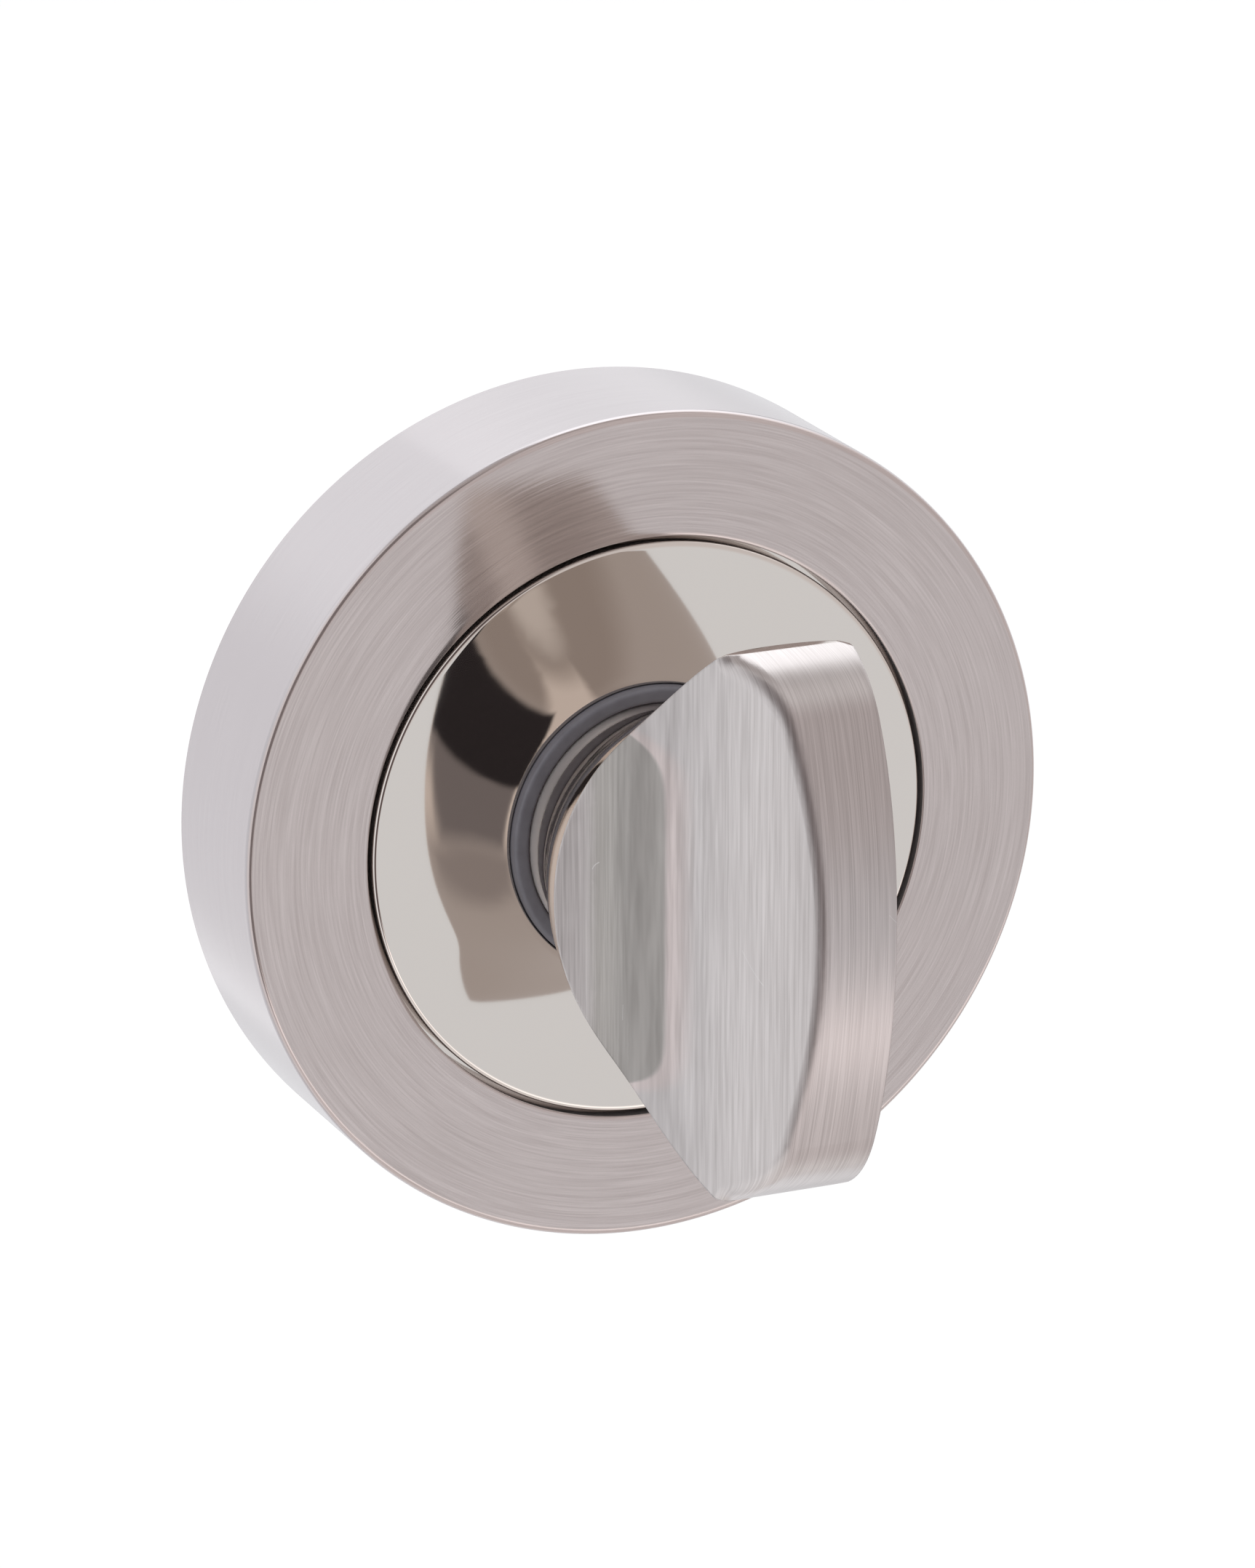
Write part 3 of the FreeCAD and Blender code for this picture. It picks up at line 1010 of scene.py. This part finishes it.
@dataclass
class Studio:
    """Floor, surroundings, lamps and the camera. Lengths in metres.

    Metal mirrors the first set of panels directly, and the second set by way of other metal.
    A ray that metal has thrown back once reaches the world at a depth of 2.
    """

    floor_height: float = -0.075
    floor_radius: float = 6.0
    floor_sides: int = 96
    floor_tone: Colour = (0.93, 0.93, 0.935)
    floor_glow: float = 0.85
    focal_pixels: float = 10411.0
    sensor: float = 36.0
    azimuth: float = 23.68
    elevation: float = 18.17
    distance: float = 0.46636
    aim_right: float = 0.003069
    aim_up: float = -0.0004147
    white: Colour = (1.0, 1.0, 1.0)
    mirrored_once_below: float = 2.5
    behind: Colour = (0.98, 0.98, 1.0)
    mirrored: tuple[Panel, ...] = (
        Panel(-38, 95, -90, 91, 20, (0.76, 0.715, 0.705)),
        Panel(-180, 180, 52, 91, 20, (0.44, 0.4, 0.39)),
        Panel(-38, 75, -91, -30, 12, (0.9, 0.86, 0.85)),
        Panel(6, 60, -36, -12, 8, (0.85, 0.865, 0.885)),
        Panel(-180, -40, -75, 20, 12, (1.03, 1.03, 1.05)),
        Panel(-150, -80, -75, 20, 30, (0.72, 0.72, 0.74)),
        Panel(-42, 0, -33, 50, 10, (0.13, 0.1, 0.1)),
        Panel(70, 178, 36, 86, 34, (1.75, 1.75, 1.78)),
        Panel(-14, 64, -33, -26, 4, (1.7, 1.62, 1.6)),
        Panel(-172, -140, -55, 12, 16, (0.84, 0.83, 0.85)),
        Panel(140, 180, -60, 6, 12, (0.82, 0.82, 0.84)),
        Panel(143, 149, -20, 24, 3, (0.4, 0.38, 0.39)),
    )
    mirrored_twice: tuple[Panel, ...] = (
        Panel(-95, 95, -90, 91, 20, (0.62, 0.58, 0.57)),
        Panel(-180, 180, 52, 91, 20, (0.47, 0.42, 0.4)),
        Panel(-180, 180, 77, 91, 8, (0.85, 0.81, 0.79)),
        Panel(-50, 0, -33, 70, 14, (0.95, 0.88, 0.84)),
        Panel(-78, -34, -62, -26, 24, (0.42, 0.385, 0.385)),
        Panel(-110, -50, -27, 8, 10, (0.27, 0.25, 0.26)),
        Panel(-110, -42, 5, 52, 5, (0.037, 0.033, 0.037)),
    )

    def build_floor(self) -> None:
        """Adds the pale floor."""
        bpy.ops.object.select_all(action="DESELECT")
        bpy.ops.mesh.primitive_circle_add(
            vertices=self.floor_sides, radius=self.floor_radius, fill_type="NGON",
            location=(0, 0, self.floor_height))
        floor = bpy.context.object
        floor.name = "floor"
        bpy.ops.object.transform_apply(location=True)
        maker = MaterialMaker("pale_floor")
        tone, white = (*self.floor_tone, 1.0), (*self.white, 1.0)
        diffuse = maker.node("ShaderNodeBsdfDiffuse", {}, {"Color": tone})
        glow = maker.node("ShaderNodeEmission", {}, {"Color": white, "Strength": 1.0})
        rays = maker.node("ShaderNodeLightPath", {}, {}).socket.node.outputs
        seen = Shade(maker, rays["Is Camera Ray"]) + Shade(maker, rays["Is Glossy Ray"])
        mixed = maker.node("ShaderNodeMixShader", {}, {
            0: seen * self.floor_glow, 1: diffuse, 2: glow,
        })
        maker.feed(maker.output.inputs[0], mixed)
        floor.data.materials.append(maker.material)
        floor.visible_glossy = False

    def room(self, maker: NodeMaker, way: Shade, panels: tuple[Panel, ...]) -> Shade:
        """Lays panels over the plain surroundings, each over the ones before it.

        Args:
            maker: The world's tree.
            way: The direction that is looked in.
            panels: The panels.

        Returns:
            The colour that lies that way.
        """
        way_x, way_y, way_z = maker.split(way)
        around = maker.node("ShaderNodeMath", {"operation": "ARCTAN2"}, {0: way_x, 1: -way_y})
        above = maker.node("ShaderNodeMath", {"operation": "ARCSINE"}, {0: way_z})
        around, above = around * DEGREES, above * DEGREES
        colour: Any = self.behind
        for panel in panels:
            colour = maker.blend(panel.share(around, above), colour, panel.colour)
        return colour

    def build_surroundings(self) -> None:
        """Sets the world: white to the camera, a studio to metal."""
        world = bpy.data.worlds.new("studio")
        bpy.context.scene.world = world
        world.use_nodes = True
        maker = NodeMaker(world.node_tree)
        way = maker.node("ShaderNodeTexCoord", {}, {}, "Generated")
        once, twice = (self.room(maker, way, panels)
                       for panels in (self.mirrored, self.mirrored_twice))
        rays = maker.node("ShaderNodeLightPath", {}, {}).socket.node.outputs
        is_twice = Shade(maker, rays["Ray Depth"]) > self.mirrored_once_below
        room = maker.blend(is_twice, once, twice)
        colour = maker.blend(Shade(maker, rays["Is Camera Ray"]), room, self.white)
        glow = maker.node("ShaderNodeBackground", {}, {"Color": colour, "Strength": 1.0})
        maker.feed(maker.tree.nodes.new("ShaderNodeOutputWorld").inputs[0], glow)

    @staticmethod
    def lamp(name: str, place: Place, size: float, power: float) -> None:
        """Adds a square soft lamp that points at the rose.

        Args:
            name: Its name.
            place: Where it stands.
            size: Its side.
            power: Its power in watts.
        """
        light = bpy.data.lights.new(name, "AREA")
        light.size = size
        light.energy = power
        holder = bpy.data.objects.new(name, light)
        bpy.context.scene.collection.objects.link(holder)
        holder.location = place
        holder.visible_glossy = False
        holder.rotation_euler = (-Vector(place)).to_track_quat("-Z", "Y").to_euler()

    def build_camera(self) -> None:
        """Adds the camera at the photograph's place."""
        bearing, rise = math.radians(self.azimuth), math.radians(self.elevation)
        out = Vector((-math.sin(bearing) * math.cos(rise), -math.cos(bearing) * math.cos(rise),
                      math.sin(rise)))
        right = Vector((math.cos(bearing), -math.sin(bearing), 0.0))
        up = right.cross(-out)
        lens = bpy.data.cameras.new("photo_camera")
        lens.sensor_fit = "HORIZONTAL"
        lens.sensor_width = self.sensor
        lens.lens = self.sensor * self.focal_pixels / PHOTO_WIDTH
        lens.clip_start = 0.01
        lens.clip_end = 50.0
        camera = bpy.data.objects.new("photo_camera", lens)
        bpy.context.scene.collection.objects.link(camera)
        camera.rotation_euler = Matrix((right, up, out)).transposed().to_euler()
        camera.location = out * self.distance + right * self.aim_right + up * self.aim_up
        bpy.context.scene.camera = camera

    def build(self) -> None:
        """Builds the studio."""
        self.build_floor()
        self.build_surroundings()
        self.lamp("overhead", (0.1, -0.1, 0.9), size=0.8, power=4.0)
        self.lamp("left", (-0.9, -0.4, 0.3), size=0.7, power=3.0)
        self.build_camera()
        bpy.context.scene.view_settings.view_transform = "Standard"


def main() -> None:
    """Builds everything in order."""
    logging.basicConfig(level=logging.INFO)
    Studio().build()
    Rose().build()
    Turn().build()
    LOG.info("pieces: %s", sorted(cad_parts))


if __name__ == "__main__":
    main()
